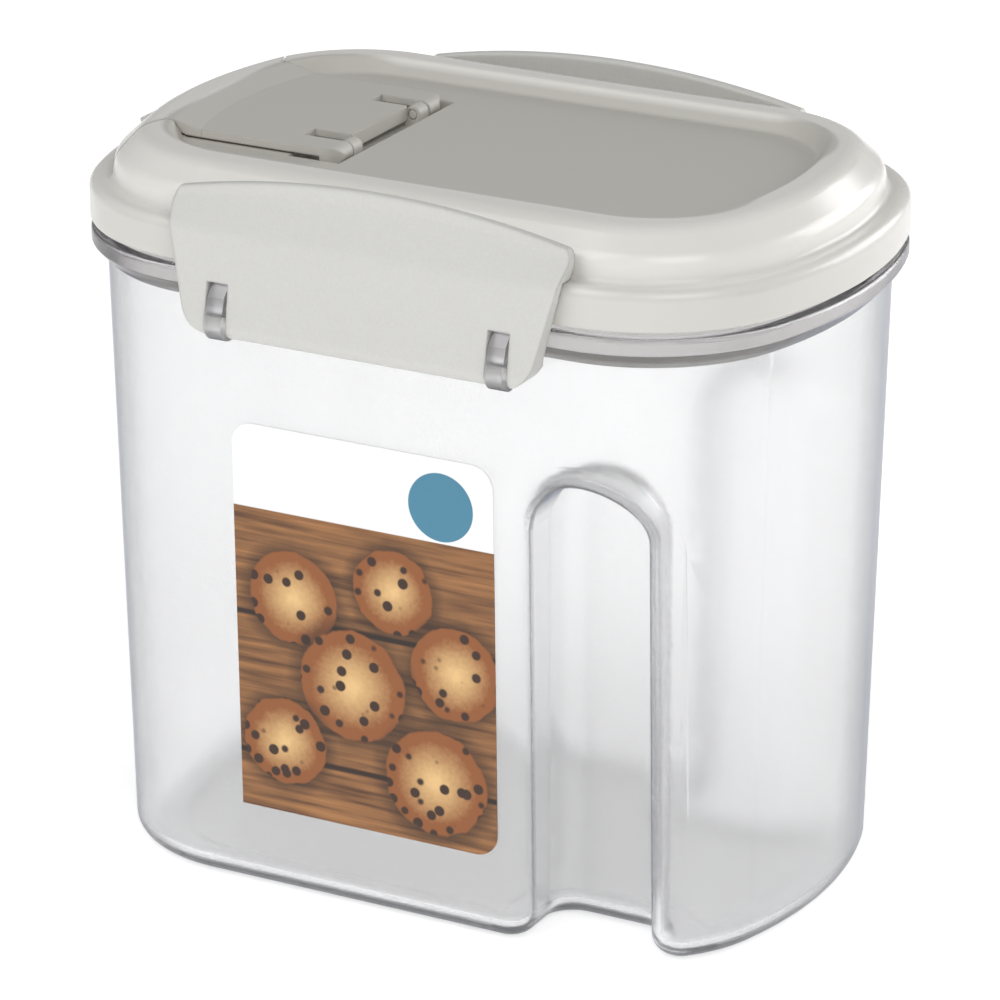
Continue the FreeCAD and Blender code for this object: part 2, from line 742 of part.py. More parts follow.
# Deck under the cap's end: keeps the lid closed there, a gap below the cap.
cap_foot_share = (s.cap_end_foot - s.ledge_height) / (s.dome_low_height - s.ledge_height)
cap_foot_inset = s.dome_foot_inset + (s.dome_low_inset - s.dome_foot_inset) * cap_foot_share
cap_under = s.panel_height + s.gap
deck_depth = s.cap_end_wall + s.gap
deck_lap = s.cap_end_wall - s.gap
deck_ring = ring("DeckRing", [
    (s.core_inset, s.panel_height),
    (s.panel_inset, s.panel_height),
    (s.crest_inset - deck_lap * SLANT_SHARE, s.crest_height - deck_lap),
    *below_dome(deck_lap),
    (s.dome_foot_inset + deck_lap, groove_top),
    (s.dome_foot_inset + deck_depth + s.deck_wall, groove_top),
    *reversed(below_dome(deck_depth + s.deck_wall)),
    (s.core_inset, panel_under),
])
deck = common("Deck", deck_ring, cap_zone("DeckZone", -s.deck_margin))
cap_space_ring = ring("CapSpaceRing", [
    (s.ledge_round, s.ledge_height),
    (s.ledge_round, s.crest_height + s.overrun),
    (s.core_inset, s.crest_height + s.overrun),
    (s.core_inset, s.panel_height),
    *below_dome(deck_depth),
    (s.dome_foot_inset + deck_depth, s.ledge_height),
])
cap_space = common("CapSpace", cap_space_ring, cap_zone("CapSpaceZone", ZERO))

# Hinge well across the panel, with its own floor, and the lugs that stand in it.
well_half = s.cap_half_width + s.gap * 2
well_top = s.panel_height + s.overrun


def box_plan(left, right, half):
    return [(-left, -half), (-right, -half), (-right, half), (-left, half)]


well_pad = prism("WellPad", "XY_Plane",
                 box_plan(s.well_left + s.well_wall, s.well_right - s.well_wall, well_half + s.well_wall),
                 s.well_floor - s.well_wall, s.panel_height - s.well_floor)
well = prism("Well", "XY_Plane", box_plan(s.well_left, s.well_right, well_half),
             s.well_floor, well_top - s.well_floor)
hinge_height = s.cap_top - s.barrel_radius
hinge_line = (-s.hinge_x, hinge_height)
lug_start = s.notch_inner + s.gap
lug_width = s.notch_outer - s.notch_inner - s.gap * 2
lug_post = prism("CapLugPost", "XZ_Plane", [
    (-s.hinge_x - s.lug_eye_radius, s.well_floor - s.well_wall / 2),
    (s.lug_eye_radius - s.hinge_x, s.well_floor - s.well_wall / 2),
    (s.lug_eye_radius - s.hinge_x, hinge_height),
    (-s.hinge_x - s.lug_eye_radius, hinge_height),
], lug_start, lug_width)
lug_eye = rod("CapLugEye", s.lug_eye_radius, -lug_start - lug_width, lug_width, "Y", hinge_line)
lug_bore = rod("CapLugBore", s.stub_radius + s.running_clearance, -s.cap_half_width, s.cap_half_width, "Y",
               hinge_line)
cap_lug = cut("CapLug", fuse("CapLugSolid", lug_post, lug_eye), lug_bore)
cap_lugs = both_sides("CapLugs", cap_lug)


def hole_plan(shrink):
    """Plan of the pour opening, shrunk for what fits in it."""
    left = s.hole_left - shrink
    right = s.hole_right + shrink
    half = s.hole_half_width - shrink
    corner = s.hole_round - shrink
    return [(-left, -half, corner), (-right, -half, corner), (-right, half, corner), (-left, half, corner)]


pour_hole = prism("PourHole", "XY_Plane", hole_plan(ZERO),
                  panel_under - s.overrun, s.shell_wall + s.overrun * 2)
lid_solid = fuse("LidSolid", lid_ring, panel, deck, well_pad)
lid_open = cut("LidOpen", lid_solid, fuse("LidCuts", cap_space, well, pour_hole))
lid = fuse("Lid", lid_open, cap_lugs)

# Flip cap: plate with hinge fingers, end that carries on the dome, thumb tab and plug.
cap_plate = prism("CapPlate", "XY_Plane", [
    (-s.cap_plate_left, -s.cap_half_width),
    (-s.hinge_x, -s.cap_half_width),
    (-s.hinge_x, -s.notch_outer),
    (-s.notch_left, -s.notch_outer),
    (-s.notch_left, -s.notch_inner),
    (-s.middle_finger_end, -s.notch_inner),
    (-s.middle_finger_end, s.notch_inner),
    (-s.notch_left, s.notch_inner),
    (-s.notch_left, s.notch_outer),
    (-s.hinge_x, s.notch_outer),
    (-s.hinge_x, s.cap_half_width),
    (-s.cap_plate_left, s.cap_half_width),
], cap_under, s.cap_top - cap_under)
barrel = rod("CapBarrel", s.barrel_radius, -s.cap_half_width, s.cap_half_width - s.notch_outer, "Y",
             hinge_line)
finger_lip = prism("FingerLip", "XY_Plane",
                   box_plan(s.middle_finger_end + s.finger_lip, s.middle_finger_end, s.notch_inner),
                   s.cap_top - s.finger_lip_drop, s.finger_lip_drop)
finger_end = s.barrel_radius - s.hinge_x
cap_mask = prism("CapMask", "XY_Plane", [
    (-s.lid_half_length, -s.cap_half_width),
    (finger_end, -s.cap_half_width, s.cap_corner_round),
    (finger_end, s.cap_half_width, s.cap_corner_round),
    (-s.lid_half_length, s.cap_half_width),
], s.well_floor, s.crest_height - s.well_floor)
cap_fingers = fuse("CapFingers", cap_plate, both_sides("CapBarrels", barrel), finger_lip)
cap_flat = common("CapFlat", cap_fingers, cap_mask)
stub = rod("CapStub", s.stub_radius, -s.notch_outer - s.gap, s.notch_outer - s.notch_inner, "Y", hinge_line)
cap_end_ring = ring("CapEndRing", [
    (cap_foot_inset, s.cap_end_foot),
    *dome_outer,
    (s.cap_band_inset, s.cap_top),
    (s.core_inset, s.cap_top),
    (s.core_inset, cap_under),
    *below_dome(s.cap_end_wall),
    (cap_foot_inset + s.cap_end_wall, s.cap_end_foot),
])
cap_end = common("CapEnd", cap_end_ring, cap_zone("CapEndZone", s.gap))
tab_root = s.lid_half_length - cap_foot_inset - s.cap_end_wall / 2
thumb_tab = prism("ThumbTab", "XY_Plane", [
    (-tab_root, -s.tab_half_width),
    (-tab_root, s.tab_half_width),
    (-s.tab_reach, s.tab_half_width, s.tab_round),
    (-s.tab_reach, -s.tab_half_width, s.tab_round),
], s.cap_end_foot, s.tab_thickness)
plug_shrink = s.gap + s.cap_seal_wall
plug_low = s.panel_height - s.cap_plug_depth
plug_out = prism("CapPlugOut", "XY_Plane", hole_plan(plug_shrink), plug_low, s.cap_top - plug_low - s.gap)
plug_in = prism("CapPlugIn", "XY_Plane", hole_plan(plug_shrink + s.cap_plug_wall), plug_low - s.overrun,
                cap_under - plug_low + s.overrun)
cap_plug = cut("CapPlug", plug_out, plug_in)
pour_cap = fuse("PourCap", cap_flat, cap_end, thumb_tab, cap_plug, both_sides("CapStubs", stub))
cap_seal_foot = plug_low + s.cap_seal_foot_gap
cap_seal_rise = s.panel_height - s.cap_seal_top_gap - cap_seal_foot
cap_seal_out = prism("CapSealOut", "XY_Plane", hole_plan(s.gap), cap_seal_foot, cap_seal_rise)
pour_cap_seal = cut("PourCapSeal", cap_seal_out, plug_out)

# Locking clip: a section from knuckle to lip, lower towards its ends, trimmed to the outline from the front.
hook_foot = s.ledge_height + s.gap
hook_top = hook_foot + s.clip_hook_height
end_share = (s.clip_end_top - hook_top) / (s.clip_top - hook_top)


def draw_clip_section(sketch, share):
    def above(height):
        return hook_top + (height - hook_top) * share

    draw_loop(sketch, [
        (-s.clip_pin_out - s.knuckle_radius, s.clip_pin_height - s.knuckle_radius, s.knuckle_round),
        (s.knuckle_radius - s.clip_pin_out, s.clip_pin_height - s.knuckle_radius, s.knuckle_round),
        (s.knuckle_radius - s.clip_pin_out, s.clip_pin_height + s.knuckle_radius / 2, s.knuckle_top_round),
        (-s.clip_bore_low, s.clip_pin_height + s.knuckle_radius),
        (-s.clip_bore, hook_foot),
        (-s.clip_hook_in, hook_foot),
        (-s.clip_hook_in, hook_top),
        (-s.clip_neck_in, above(s.clip_neck_height)),
        (-s.clip_lip_in, above(s.clip_top), s.clip_lip_round * share),
        (-s.clip_lip_out, above(s.clip_top), s.clip_lip_round * share),
        (-s.clip_valley_out, above(s.clip_valley_height), s.clip_valley_round * share),
        (-s.clip_mid_out, s.clip_mid_height, s.clip_mid_round * share),
        (-s.clip_low_out, s.clip_low_height, s.clip_low_round),
    ])


clip_sweep = new_body("ClipSweep")
clip_reach = s.clip_half_top + s.core_lap
clip_sections = []
clip_stations = [
    ("Left", -clip_reach, end_share),
    ("Middle", ZERO, as_size(1)),
    ("Right", clip_reach, end_share),
]
for name, at, share in clip_stations:
    section = sketch_on(clip_sweep, "ClipSection" + name, "YZ_Plane", at)
    draw_clip_section(section, share)
    clip_sections.append(section)
clip_loft = clip_sweep.newObject("PartDesign::AdditiveLoft", "ClipLoft")
clip_loft.Profile = (clip_sections[0], [""])
clip_loft.Sections = [(section, [""]) for section in clip_sections[1:]]
clip_low = s.clip_pin_height - s.knuckle_radius
clip_outline = prism("ClipOutline", "XZ_Plane", [
    (-s.clip_half_foot, clip_low, s.clip_foot_round),
    (s.clip_half_foot, clip_low, s.clip_foot_round),
    (s.clip_half_top, s.clip_corner_height, s.clip_corner_round),
    (s.clip_roof_half, s.clip_top + s.core_lap),
    (-s.clip_roof_half, s.clip_top + s.core_lap),
    (-s.clip_half_top, s.clip_corner_height, s.clip_corner_round),
], ZERO, s.lid_half_width + s.overrun * 2)
clip_plate = common("ClipPlate", clip_sweep, clip_outline)
slot_low = clip_low - s.overrun
slot = prism("ClipSlot", "XZ_Plane", [
    (s.slot_centre - s.slot_width / 2, slot_low),
    (s.slot_centre + s.slot_width / 2, slot_low),
    (s.slot_centre + s.slot_width / 2, s.slot_top),
    (s.slot_centre - s.slot_width / 2, s.slot_top),
], ZERO, s.lid_half_width + s.overrun * 2)
clip_slotted = cut("ClipSlotted", clip_plate, both_sides("ClipSlots", slot, ALONG))
clip_pin = rod("ClipPin", s.clip_pin_radius, s.slot_centre - s.slot_width, s.slot_width * 2, "X", pin_line)
front_clip = fuse("FrontClip", clip_slotted, both_sides("ClipPins", clip_pin, ALONG))
rear_clip = mirror("RearClip", front_clip, ACROSS)

NODES = {
    "container": container,
    "label": label,
    "lid": lid,
    "lid_seal": lid_seal,
    "pour_cap": pour_cap,
    "pour_cap_seal": pour_cap_seal,
    "front_clip": front_clip,
    "rear_clip": rear_clip,
}

doc.recompute()
for thing in doc.Objects:
    if any(word in ("Invalid", "Error") for word in thing.State):
        raise RuntimeError(f"{thing.Name}: {thing.State}")
os.makedirs("parts", exist_ok=True)
for node, thing in NODES.items():
    shape = thing.Shape
    if shape.isNull() or not shape.isValid():
        raise RuntimeError(f"{node}: the solid is not valid")
    shape.exportStep(f"parts/{node}.step")
    print(node, len(shape.Solids), "solid(s)", round(shape.Volume), "cubic mm")
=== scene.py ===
# %% [markdown]
# # A clear food storage box with a flip-top lid
# The box is a clear moulded tub under an off-white lid. A flip cap in the lid opens for pouring, and two clips
# hinged on the tub lock the lid down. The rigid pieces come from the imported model, in metres, with the pour end
# at -X, the labelled front at -Y and the table at z = 0. This script gives them their finishes and sets up the
# studio. It adds no shapes of its own, because the solids already have every form that shows.

# %% Load the rigid frame
import math

import bpy
import numpy as np
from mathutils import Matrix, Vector

MM = 0.001

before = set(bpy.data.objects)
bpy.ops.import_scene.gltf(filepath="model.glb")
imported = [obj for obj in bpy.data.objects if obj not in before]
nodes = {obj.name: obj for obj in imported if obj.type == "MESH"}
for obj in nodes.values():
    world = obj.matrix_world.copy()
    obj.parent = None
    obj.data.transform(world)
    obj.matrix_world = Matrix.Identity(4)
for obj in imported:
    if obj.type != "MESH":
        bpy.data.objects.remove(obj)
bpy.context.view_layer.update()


# %% [markdown]
# ## Helpers for materials
# A material is a small graph of nodes. It could be wired by hand in the shader editor, but in a script the whole
# finish can be read and repeated. One function fills a node's sockets with values or with the outputs of other
# nodes, and one adds a node. Colours are written as sRGB hex values, as a colour picker shows them, and turned
# into the linear values that Blender's shaders work in.

# %% Colour and node helpers
# A Mix node has sockets of the same name for numbers, vectors and colours, so its colour sockets go by number.
COLOUR_A, COLOUR_B, MIXED = 6, 7, 2


def linear(code):
    """sRGB hex to linear RGBA: a straight part near black, then a power curve, as the sRGB standard says."""
    channels = np.array([int(code[i:i + 2], 16) for i in (1, 3, 5)]) / 255
    low = channels / 12.92
    high = ((channels + 0.055) / 1.055) ** 2.4
    return (*np.where(channels <= 0.04045, low, high).tolist(), 1.0)


def fill(node, inputs):
    """Fill a node's sockets, by name or number, with values or with the outputs of other nodes."""
    for socket, value in inputs.items():
        if isinstance(value, bpy.types.NodeSocket):
            node.id_data.links.new(value, node.inputs[socket])
        else:
            node.inputs[socket].default_value = value


def add(tree, kind, inputs=None, **settings):
    """Add one node. Settings are its properties, and inputs fill its sockets."""
    made = tree.nodes.new(kind)
    for name, value in settings.items():
        setattr(made, name, value)
    fill(made, inputs or {})
    return made


def new_material(name):
    """A node material with a Principled shader wired to its output, and the Object coordinates to draw on."""
    material = bpy.data.materials.new(name)
    material.use_nodes = True
    tree = material.node_tree
    tree.nodes.clear()
    shader = add(tree, "ShaderNodeBsdfPrincipled")
    output = add(tree, "ShaderNodeOutputMaterial", {"Surface": shader.outputs[0]})
    place = add(tree, "ShaderNodeTexCoord").outputs["Object"]
    return material, tree, shader, output, place


def dress(material, *names):
    """Give rigid nodes one material."""
    for name in names:
        mesh = nodes[name].data
        mesh.materials.clear()
        mesh.materials.append(material)
    print(material.name, "on", ", ".join(names))


print("mid grey #808080, linear:", round(linear("#808080")[0], 3))


# %% [markdown]
# ## Clear polypropylene
# The tub is injection-moulded clear polypropylene. Light passes the thin wall almost untouched and bends at the
# thick edges, where the long way through the plastic shows as blue-grey lines. A see-through shader would be
# quicker to render, but it bends no light. Transmission with the real refractive index does, so it is used here.
# The plastic is a little milky: a small diffuse share and some roughness soften the lines, and a weak absorption
# inside tints the long paths. Painted shade: a wall seen edge-on is painted blue-grey, standing in for the dark
# refracted lines, and the thick rim above the bead is painted greyer than the walls, for its longer light paths.
# The clips' lugs are hazier.

# %% Tub material
PP_IOR = 1.49
CLEAR_ROUGH = 0.2
CLEAR_SHARE = 0.95
ABSORB_PER_M = 14.0
BEAD_FOOT = 92.2 * MM
RIM_FADE = 0.6 * MM
EDGE_FROM, EDGE_FULL = 0.66, 0.84
LUG_OUT = 39.4 * MM
LUG_FADE = 1.0 * MM
LUG_ROUGH = 0.5
FLOW_SIZE = 9.0 * MM
FLOW_DEPTH = 0.2 * MM
FLOW_SHARE = 0.04


def clear_polypropylene():
    material, tree, shader, output, place = new_material("clear_polypropylene")
    along = add(tree, "ShaderNodeSeparateXYZ", {0: place})
    # Painted shade: above the bead the thick rim is tinted greyer, for its longer light paths.
    rim_shade = add(tree, "ShaderNodeMapRange", {
        "Value": along.outputs["Z"], "From Min": BEAD_FOOT, "From Max": BEAD_FOOT + RIM_FADE,
    })
    body = add(tree, "ShaderNodeMix", {
        "Factor": rim_shade.outputs["Result"], COLOUR_A: linear("#FFFFFF"), COLOUR_B: linear("#CFCBCA"),
    }, data_type="RGBA")
    # Painted shade: walls seen edge-on are tinted blue-grey, standing in for the dark refracted lines.
    painted_edge_shade = add(tree, "ShaderNodeMapRange", {
        "Value": add(tree, "ShaderNodeLayerWeight").outputs["Facing"],
        "From Min": EDGE_FROM, "From Max": EDGE_FULL,
    })
    colour = add(tree, "ShaderNodeMix", {
        "Factor": painted_edge_shade.outputs["Result"], COLOUR_A: body.outputs[MIXED], COLOUR_B: linear("#444E6B"),
    }, data_type="RGBA")
    side = add(tree, "ShaderNodeMath", {0: along.outputs["Y"]}, operation="ABSOLUTE")
    rough = add(tree, "ShaderNodeMapRange", {
        "Value": side.outputs[0], "From Min": LUG_OUT, "From Max": LUG_OUT + LUG_FADE,
        "To Min": CLEAR_ROUGH, "To Max": LUG_ROUGH,
    })
    flow = add(tree, "ShaderNodeTexNoise", {"Vector": place, "Scale": 1 / FLOW_SIZE, "Detail": 2.0})
    bump = add(tree, "ShaderNodeBump", {
        "Strength": FLOW_SHARE, "Distance": FLOW_DEPTH, "Height": flow.outputs["Fac"],
    })
    fill(shader, {
        "Base Color": colour.outputs[MIXED], "Roughness": rough.outputs["Result"], "IOR": PP_IOR,
        "Transmission Weight": CLEAR_SHARE, "Normal": bump.outputs["Normal"],
    })
    inside = add(tree, "ShaderNodeVolumeAbsorption", {"Color": linear("#AEB9D6"), "Density": ABSORB_PER_M})
    fill(output, {"Volume": inside.outputs["Volume"]})
    return material


dress(clear_polypropylene(), "container")


# %% [markdown]
# ## Off-white polypropylene
# The lid and the cap are opaque polypropylene from a polished mould: the domed rim is glossy. The sunk panel and
# the cap's plate are a little duller, from a fine grain in the mould, and painted darker than the dome: painted
# shade for the dim light overhead. They could have a second material on picked faces, but a mask drawn from the
# panel's plan needs no picking and fades at its edge. The grain is a noise bump about 0.35 mm wide. Edges are
# shaded as if broken by 0.4 mm, as a mould leaves them. The skirt is painted a little greyer, painted shade that
# takes back the light which the glowing floor of this studio throws on it.

# %% Mask of the sunk panel
PANEL_HALF = (46.6 * MM, 26.6 * MM)
PANEL_CORNER = 14.0 * MM
PANEL_FADE = 0.4 * MM
ANY_HEIGHT = 1.0


def panel_mask(tree, place):
    """1 inside a rounded rectangle in plan: the distance to it is the length of what lies past the inner box."""
    inner = (PANEL_HALF[0] - PANEL_CORNER, PANEL_HALF[1] - PANEL_CORNER, ANY_HEIGHT)
    size = add(tree, "ShaderNodeVectorMath", {0: place}, operation="ABSOLUTE")
    past = add(tree, "ShaderNodeVectorMath", {0: size.outputs[0], 1: inner}, operation="SUBTRACT")
    past = add(tree, "ShaderNodeVectorMath", {0: past.outputs[0], 1: (0, 0, 0)}, operation="MAXIMUM")
    away = add(tree, "ShaderNodeVectorMath", {0: past.outputs[0]}, operation="LENGTH")
    return add(tree, "ShaderNodeMapRange", {
        "Value": away.outputs["Value"],
        "From Min": PANEL_CORNER + PANEL_FADE, "From Max": PANEL_CORNER - PANEL_FADE,
    }).outputs["Result"]


print("panel, mm:", [round(2 * half / MM, 1) for half in PANEL_HALF])

# %% Lid material
SKIRT_TOP = 103.2 * MM
SKIRT_FADE = 1.4 * MM
TONE_SIZE = 14.0 * MM
DOME_ROUGH, PANEL_ROUGH = 0.2, 0.48
LID_GRAIN = 0.35 * MM
DOME_GRAIN_SHARE, PANEL_GRAIN_SHARE = 0.01, 0.12
GRAIN_DEPTH = 0.1 * MM
LID_EDGE = 0.4 * MM


def lid_polypropylene():
    material, tree, shader, _, place = new_material("lid_polypropylene")
    panel = panel_mask(tree, place)
    tone = add(tree, "ShaderNodeTexNoise", {"Vector": place, "Scale": 1 / TONE_SIZE, "Detail": 3.0})
    colour = add(tree, "ShaderNodeMix", {
        "Factor": tone.outputs["Fac"], COLOUR_A: linear("#EBE9E2"), COLOUR_B: linear("#EFEDE8"),
    }, data_type="RGBA")
    # Painted shade: the flat panel and the cap's plate are painted darker than the dome, for the dim light
    # overhead.
    colour = add(tree, "ShaderNodeMix", {
        "Factor": panel, COLOUR_A: colour.outputs[MIXED], COLOUR_B: linear("#CBC8C1"),
    }, data_type="RGBA")
    height = add(tree, "ShaderNodeSeparateXYZ", {0: place}).outputs["Z"]
    # Painted shade: the skirt is painted greyer to take back the light the glowing floor throws on it.
    painted_skirt_shade = add(tree, "ShaderNodeMapRange", {
        "Value": height, "From Min": SKIRT_TOP, "From Max": SKIRT_TOP - SKIRT_FADE,
    })
    colour = add(tree, "ShaderNodeMix", {
        "Factor": painted_skirt_shade.outputs["Result"], COLOUR_A: colour.outputs[MIXED], COLOUR_B: linear("#D7D5CF"),
    }, data_type="RGBA")
    rough = add(tree, "ShaderNodeMapRange", {"Value": panel, "To Min": DOME_ROUGH, "To Max": PANEL_ROUGH})
    grain = add(tree, "ShaderNodeTexNoise", {"Vector": place, "Scale": 1 / LID_GRAIN, "Detail": 1.0})
    share = add(tree, "ShaderNodeMapRange", {
        "Value": panel, "To Min": DOME_GRAIN_SHARE, "To Max": PANEL_GRAIN_SHARE,
    })
    edge = add(tree, "ShaderNodeBevel", {"Radius": LID_EDGE})
    bump = add(tree, "ShaderNodeBump", {
        "Strength": share.outputs["Result"], "Distance": GRAIN_DEPTH, "Height": grain.outputs["Fac"],
        "Normal": edge.outputs["Normal"],
    })
    fill(shader, {
        "Base Color": colour.outputs[MIXED], "Roughness": rough.outputs["Result"], "IOR": PP_IOR,
        "Normal": bump.outputs["Normal"],
    })
    return material


dress(lid_polypropylene(), "lid", "pour_cap")


# %% [markdown]
# ## Grained polypropylene
# The clips come from a spark-eroded mould, which leaves an even matt grain. Pits that small would be wasteful as
# geometry, so a noise bump stands for them. The real ones are under 0.2 mm wide, too fine for the picture, and
# are drawn 0.4 mm wide.

# %% Clip material
CLIP_GRAIN = 0.4 * MM
CLIP_GRAIN_SHARE = 0.22
CLIP_EDGE = 0.6 * MM
CLIP_ROUGH = 0.5


def clip_polypropylene():
    material, tree, shader, _, place = new_material("clip_polypropylene")
    grain = add(tree, "ShaderNodeTexNoise", {"Vector": place, "Scale": 1 / CLIP_GRAIN, "Detail": 2.0})
    tone = add(tree, "ShaderNodeMix", {
        "Factor": grain.outputs["Fac"], COLOUR_A: linear("#D2D1CC"), COLOUR_B: linear("#DADAD6"),
    }, data_type="RGBA")
    edge = add(tree, "ShaderNodeBevel", {"Radius": CLIP_EDGE})
    bump = add(tree, "ShaderNodeBump", {
        "Strength": CLIP_GRAIN_SHARE, "Distance": GRAIN_DEPTH, "Height": grain.outputs["Fac"],
        "Normal": edge.outputs["Normal"],
    })
    fill(shader, {
        "Base Color": tone.outputs[MIXED], "Roughness": CLIP_ROUGH, "IOR": PP_IOR,
        "Normal": bump.outputs["Normal"],
    })
    return material


dress(clip_polypropylene(), "front_clip", "rear_clip")


# %% [markdown]
# ## Silicone
# The lid's seal and the ring on the cap's plug are soft silicone: dull, and slightly darker than the lid. Silicone
# lets a little light in, which subsurface scattering would give, but both rings are nearly hidden, so a rough
# opaque finish with a faint bloom of dust is enough.

# %% Seal material
BLOOM_SIZE = 2.5 * MM
SILICONE_ROUGH = 0.55
SILICONE_IOR = 1.41


def silicone():
    material, tree, shader, _, place = new_material("silicone")
    bloom = add(tree, "ShaderNodeTexNoise", {"Vector": place, "Scale": 1 / BLOOM_SIZE, "Detail": 3.0})
    colour = add(tree, "ShaderNodeMix", {
        "Factor": bloom.outputs["Fac"], COLOUR_A: linear("#CFCDC8"), COLOUR_B: linear("#D8D7D3"),
    }, data_type="RGBA")
    fill(shader, {"Base Color": colour.outputs[MIXED], "Roughness": SILICONE_ROUGH, "IOR": SILICONE_IOR})
    return material


dress(silicone(), "lid_seal", "pour_cap_seal")


# %% [markdown]
# ## Printed label: the planks
# The label is a printed film on the front wall: a white field above, and a plain picture of round biscuits on
# planks below. It could be an image, but nodes draw it sharp at any size and keep it a design of its own. Lengths
# in the print are in millimetres. The planks come first: noise stretched along the boards gives the grain. Folding
# the height back and forth over half a plank gives the joints.

# %% Planks on the label
PLANK_HALF = 11.0
JOINT_DARK, JOINT_FADE = 0.25, 0.6
GRAIN_STRETCH = (0.05, 0.05, 0.9)
GRAIN_PER_MM = 1.2
WOOD_STOPS = ((0.3, "#5A3820"), (0.7, "#B07A48"))


def paint_ramp(ramp, stops):
    """Set a ramp's two stops, each a position and a colour."""
    for element, (position, code) in zip(ramp.color_ramp.elements, stops):
        element.position = position
        element.color = linear(code)
    return ramp.outputs["Color"]


def planks(tree, mm, up):
    stretched = add(tree, "ShaderNodeVectorMath", {0: mm, 1: GRAIN_STRETCH}, operation="MULTIPLY")
    grain = add(tree, "ShaderNodeTexNoise", {
        "Vector": stretched.outputs[0], "Scale": GRAIN_PER_MM, "Detail": 6.0,
    })
    wood = paint_ramp(add(tree, "ShaderNodeValToRGB", {"Fac": grain.outputs["Fac"]}), WOOD_STOPS)
    joint = add(tree, "ShaderNodeMath", {0: up, 1: PLANK_HALF}, operation="PINGPONG")
    joint = add(tree, "ShaderNodeMapRange", {
        "Value": joint.outputs[0], "From Min": JOINT_DARK, "From Max": JOINT_FADE,
    })
    return add(tree, "ShaderNodeMix", {
        "Factor": joint.outputs["Result"], COLOUR_A: linear("#2E1B10"), COLOUR_B: wood,
    }, data_type="RGBA").outputs[MIXED]


print("planks, mm wide:", 2 * PLANK_HALF)

# %% [markdown]
# ## Printed label: the biscuits
# Each biscuit is a disc whose rim wobbles a little, pale in the middle and baked at the rim, with dark chips and a
# soft shadow under it. One disc node group could be copied by hand, but a loop over a short list of places and
# radii draws all of them alike.

# %% Biscuits on the label
BISCUITS = [
    (-14.5, 47.5, 7.2), (2.0, 51.5, 6.4), (12.0, 40.5, 7.2),
    (-5.0, 35.5, 8.6), (-16.5, 24.5, 6.8), (8.5, 23.0, 8.2),
]
WOBBLE, WOBBLE_PER_MM = 1.2, 0.35
CRUMB_SHARE, CRUMB_PER_MM = 0.22, 1.6
CHIPS_PER_MM = 0.36
CHIP_OUT, CHIP_IN = 0.34, 0.26
SHADOW_OUT, SHADOW_IN, SHADOW_SHARE = 1.3, 0.95, 0.75
RIM_OUT, RIM_IN = 1.02, 0.98
DOUGH_STOPS = ((0.25, "#EFC688"), (0.9167, "#97592A"))


def biscuits(tree, mm, across, up, picture):
    wobble = add(tree, "ShaderNodeTexNoise", {"Vector": mm, "Scale": WOBBLE_PER_MM, "Detail": 2.0})
    crumb = add(tree, "ShaderNodeTexNoise", {"Vector": mm, "Scale": CRUMB_PER_MM, "Detail": 4.0})
    chips = add(tree, "ShaderNodeTexVoronoi", {"Vector": mm, "Scale": CHIPS_PER_MM})
    chip = add(tree, "ShaderNodeMapRange", {
        "Value": chips.outputs["Distance"], "From Min": CHIP_OUT, "From Max": CHIP_IN,
    })
    for x, z, radius in BISCUITS:
        away = add(tree, "ShaderNodeCombineXYZ", {
            0: add(tree, "ShaderNodeMath", {0: across, 1: x}, operation="SUBTRACT").outputs[0],
            1: add(tree, "ShaderNodeMath", {0: up, 1: z}, operation="SUBTRACT").outputs[0],
        })
        reach = add(tree, "ShaderNodeVectorMath", {0: away.outputs[0]}, operation="LENGTH").outputs["Value"]
        reach = add(tree, "ShaderNodeMath", {
            0: wobble.outputs["Fac"], 1: WOBBLE, 2: reach,
        }, operation="MULTIPLY_ADD")
        # The distance as a share of the radius: 1 is the biscuit's rim.
        share = add(tree, "ShaderNodeMath", {
            0: reach.outputs[0], 1: radius + WOBBLE / 2,
        }, operation="DIVIDE").outputs[0]
        shadow = add(tree, "ShaderNodeMapRange", {
            "Value": share, "From Min": SHADOW_OUT, "From Max": SHADOW_IN, "To Max": SHADOW_SHARE,
        })
        picture = add(tree, "ShaderNodeMix", {
            "Factor": shadow.outputs["Result"], COLOUR_A: picture, COLOUR_B: linear("#1E120A"),
        }, data_type="RGBA").outputs[MIXED]
        baked = add(tree, "ShaderNodeMath", {
            0: crumb.outputs["Fac"], 1: CRUMB_SHARE, 2: share,
        }, operation="MULTIPLY_ADD")
        dough = paint_ramp(add(tree, "ShaderNodeValToRGB", {"Fac": baked.outputs[0]}), DOUGH_STOPS)
        chipped = add(tree, "ShaderNodeMix", {
            "Factor": chip.outputs["Result"], COLOUR_A: dough, COLOUR_B: linear("#3B2316"),
        }, data_type="RGBA")
        inside = add(tree, "ShaderNodeMapRange", {"Value": share, "From Min": RIM_OUT, "From Max": RIM_IN})
        picture = add(tree, "ShaderNodeMix", {
            "Factor": inside.outputs["Result"], COLOUR_A: picture, COLOUR_B: chipped.outputs[MIXED],
        }, data_type="RGBA").outputs[MIXED]
    return picture


print("biscuits:", len(BISCUITS))

# %% [markdown]
# ## Printed label: the film
# The film is smooth and slightly glossy. Above the picture it is white, with a plain teal disc. Its glued side
# shows through the tub, and is plain: a second material could do that, but the film's own normal already tells
# the two sides apart, since the glued one faces +Y.

# %% Label material
LABEL_SPLIT = 60.5
PRINT_EDGE = 0.05
DISC_X, DISC_Z, DISC_RADIUS = 10.0, 66.0, 5.2
GLUED_FROM, GLUED_FULL = 0.1, 0.3
FILM_ROUGH = 0.38
FILM_IOR = 1.5


